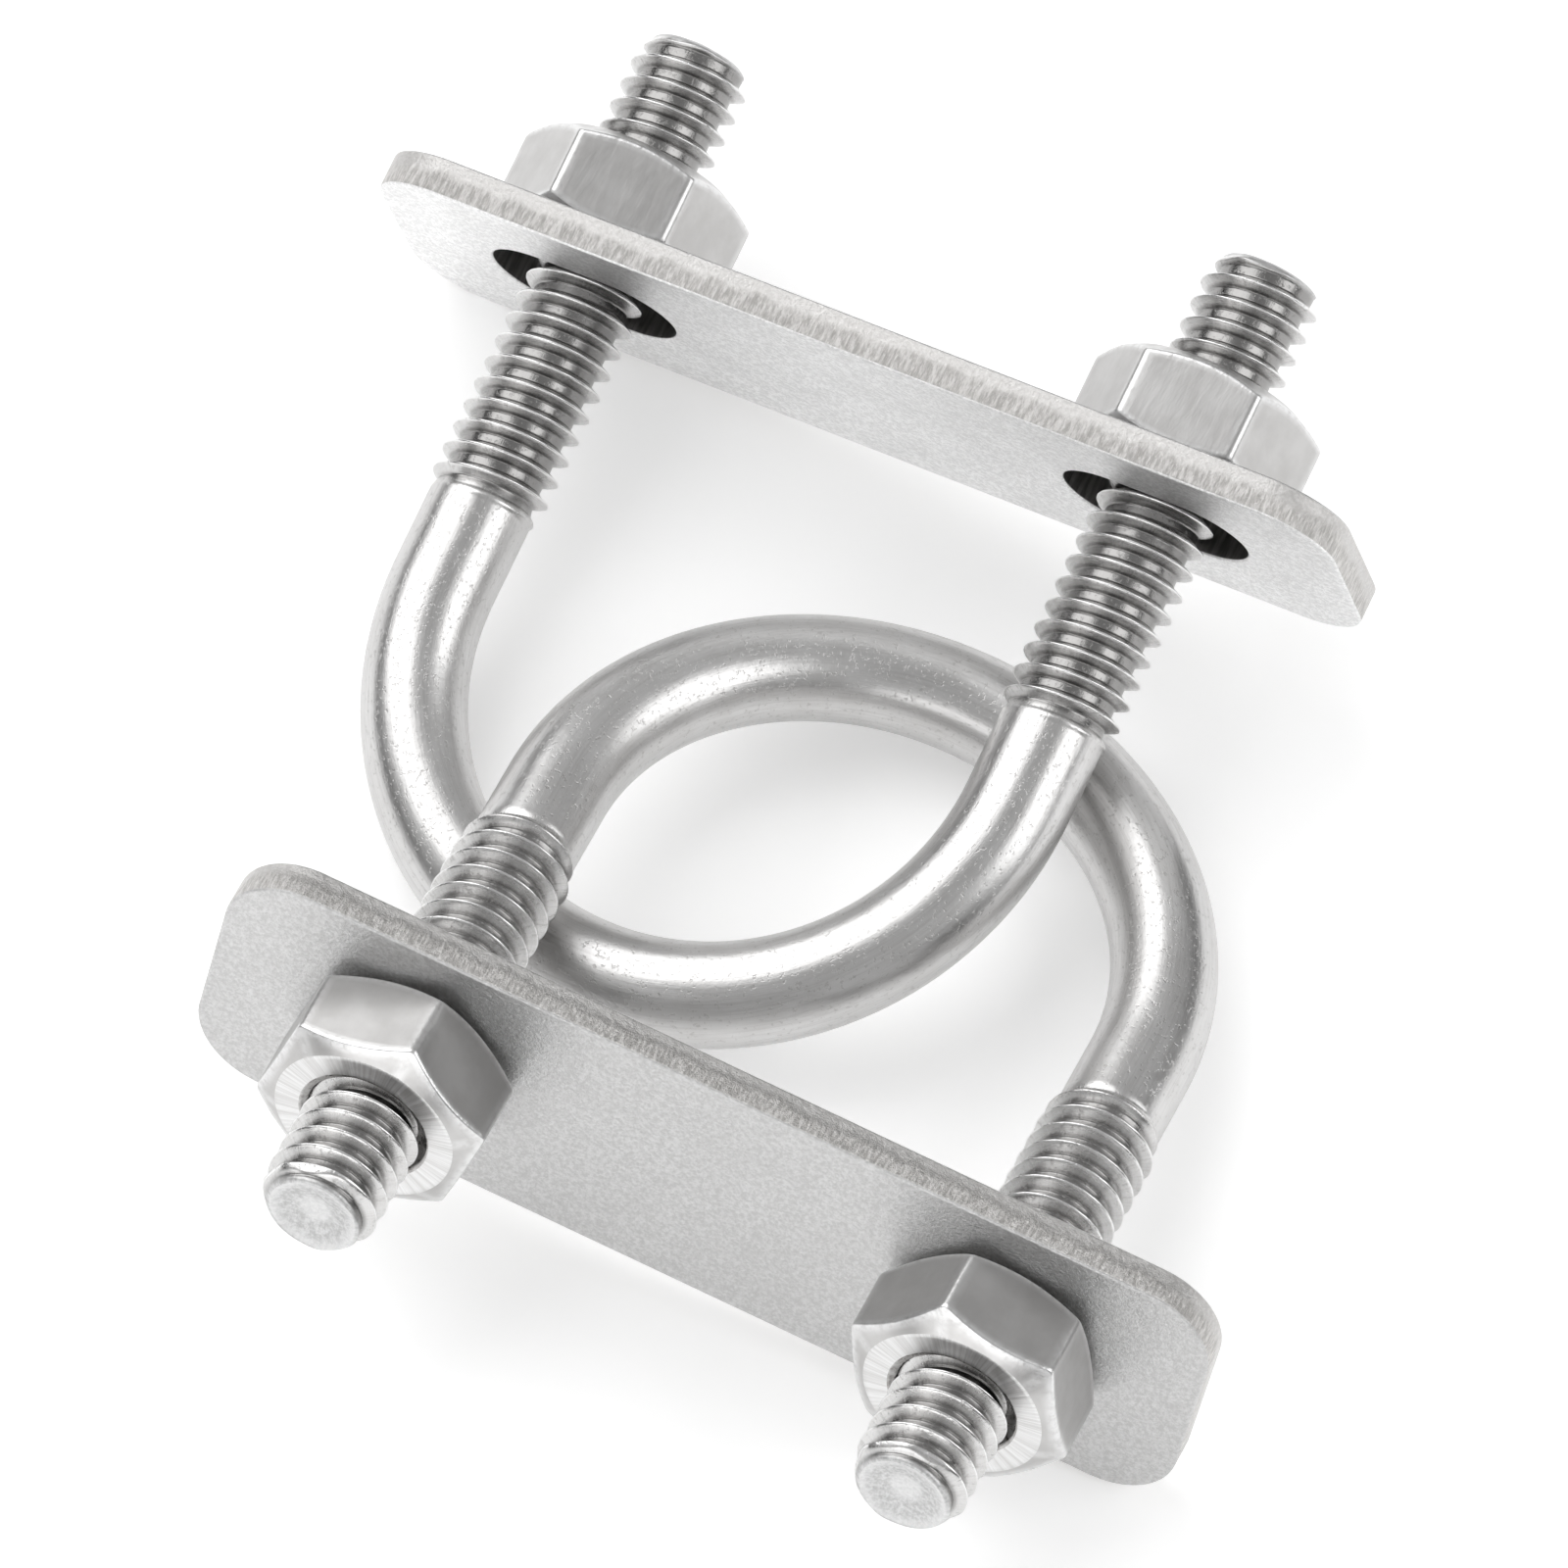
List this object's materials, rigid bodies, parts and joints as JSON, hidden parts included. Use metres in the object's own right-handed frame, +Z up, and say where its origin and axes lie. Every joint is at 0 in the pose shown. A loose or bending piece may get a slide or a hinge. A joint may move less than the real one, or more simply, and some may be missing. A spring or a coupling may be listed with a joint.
{
  "type": "linked u-bolt clamps",
  "caption": "Linked pair of threaded U-bolt clamps, each closed by a slotted strap plate and hex nuts, for holding a tube or bar.",
  "frame": {"origin": "middle of the linked pair's footprint, on the surface it lies on", "axes": "+Z up, +Y along the upper clamp's legs as seen from above, +X along the strap plates"},
  "size_m": [0.0676, 0.0719, 0.021],
  "materials": {
    "rod": "drawn and polished stainless rod with rolled threads",
    "strap": "matt tumbled stainless plate with sheared edges",
    "nut": "satin stainless nut with turned faces"
  },
  "bodies": {
    "lower_u_bolt": {"lower_u_bolt": "rod"},
    "lower_plate": {"lower_plate": "strap"},
    "lower_left_nut": {"lower_left_nut": "nut"},
    "lower_right_nut": {"lower_right_nut": "nut"},
    "upper_u_bolt": {"upper_u_bolt": "rod"},
    "upper_plate": {"upper_plate": "strap"},
    "upper_left_nut": {"upper_left_nut": "nut"},
    "upper_right_nut": {"upper_right_nut": "nut"}
  },
  "joints": [
    {"name": "link_twist", "type": "hinge", "parent": "lower_u_bolt", "child": "upper_u_bolt", "pos_m": [0, 0, 0.0067], "axis": [0, -1, 0], "range_deg": [0, 110]},
    {"name": "lower_plate_slide", "type": "slide", "parent": "lower_u_bolt", "child": "lower_plate", "axis": [0.0314, -0.9784, 0.2044], "range_m": [-0.004, 0.0045]},
    {"name": "lower_left_nut_turn", "type": "hinge", "parent": "lower_plate", "child": "lower_left_nut", "pos_m": [-0.0104, -0.02368, 0.01201], "axis": [0.0314, -0.9784, 0.2044], "range_deg": [-1138.9, 1280.6]},
    {"name": "lower_right_nut_turn", "type": "hinge", "parent": "lower_plate", "child": "lower_right_nut", "pos_m": [0.02245, -0.02328, 0.00887], "axis": [0.0314, -0.9784, 0.2044], "range_deg": [-1138.9, 1280.6]},
    {"name": "upper_plate_slide", "type": "slide", "parent": "upper_u_bolt", "child": "upper_plate", "axis": [-0.0052, 0.9772, 0.2122], "range_m": [-0.004, 0.0045]},
    {"name": "upper_left_nut_turn", "type": "hinge", "parent": "upper_plate", "child": "upper_left_nut", "pos_m": [-0.02236, 0.02345, 0.00892], "axis": [-0.0052, 0.9772, 0.2122], "range_deg": [-1138.9, 1280.6]},
    {"name": "upper_right_nut_turn", "type": "hinge", "parent": "upper_plate", "child": "upper_right_nut", "pos_m": [0.01043, 0.02284, 0.01255], "axis": [-0.0052, 0.9772, 0.2122], "range_deg": [-1138.9, 1280.6]}
  ],
  "couplings": [
    {"joint": "lower_left_nut_turn", "follows": "lower_plate_slide", "rad_per_m": 4947.4},
    {"joint": "lower_right_nut_turn", "follows": "lower_plate_slide", "rad_per_m": 4947.4},
    {"joint": "upper_left_nut_turn", "follows": "upper_plate_slide", "rad_per_m": 4947.4},
    {"joint": "upper_right_nut_turn", "follows": "upper_plate_slide", "rad_per_m": 4947.4}
  ]
}
